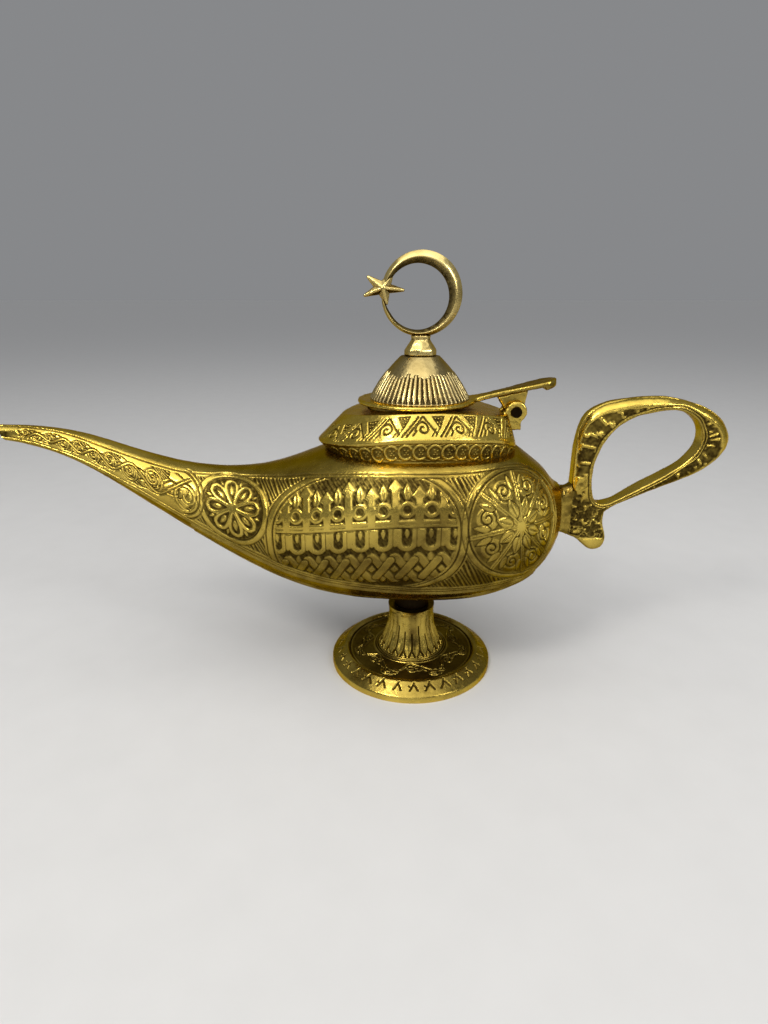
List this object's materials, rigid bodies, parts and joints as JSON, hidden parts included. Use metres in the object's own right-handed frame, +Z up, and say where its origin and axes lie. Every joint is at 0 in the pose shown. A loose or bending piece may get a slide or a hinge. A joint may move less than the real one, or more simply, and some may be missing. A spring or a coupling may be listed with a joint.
{
  "type": "genie oil lamp",
  "caption": "Brass genie lamp with an upswept spout, a looped handle, a footed body and a hinged domed lid under a crescent and star.",
  "frame": {"origin": "centre of the foot's underside", "axes": "+Z up; +X towards the handle, so the spout points along -X; +Y away from the viewer of the picture"},
  "size_m": [0.2638, 0.074, 0.1547],
  "materials": {
    "engraved_brass": "polished with dark patina in the recesses",
    "plain_brass": "satin",
    "lid_brass": "polished"
  },
  "bodies": {
    "base": {"body_right_shell": "engraved_brass", "body_left_shell": "engraved_brass", "foot": "engraved_brass", "foot_boss": "plain_brass", "foot_washer": "plain_brass", "foot_nut": "plain_brass", "foot_stud": "plain_brass", "neck_collar": "engraved_brass", "hinge_bracket": "plain_brass", "hinge_pin": "plain_brass", "handle_saddle": "plain_brass", "handle": "engraved_brass"},
    "lid": {"lid_plate": "lid_brass", "lid_lip": "plain_brass", "lid_hinge_lug": "plain_brass", "lid_dome": "lid_brass", "finial_ferrule": "lid_brass", "finial_nut": "plain_brass", "finial_stud": "plain_brass", "finial_star": "lid_brass", "finial_crescent": "lid_brass"}
  },
  "joints": [
    {"name": "lid_hinge", "type": "hinge", "parent": "base", "child": "lid", "pos_m": [0.0356, 0, 0.1019], "axis": [0, 1, 0], "range_deg": [0, 95]}
  ]
}
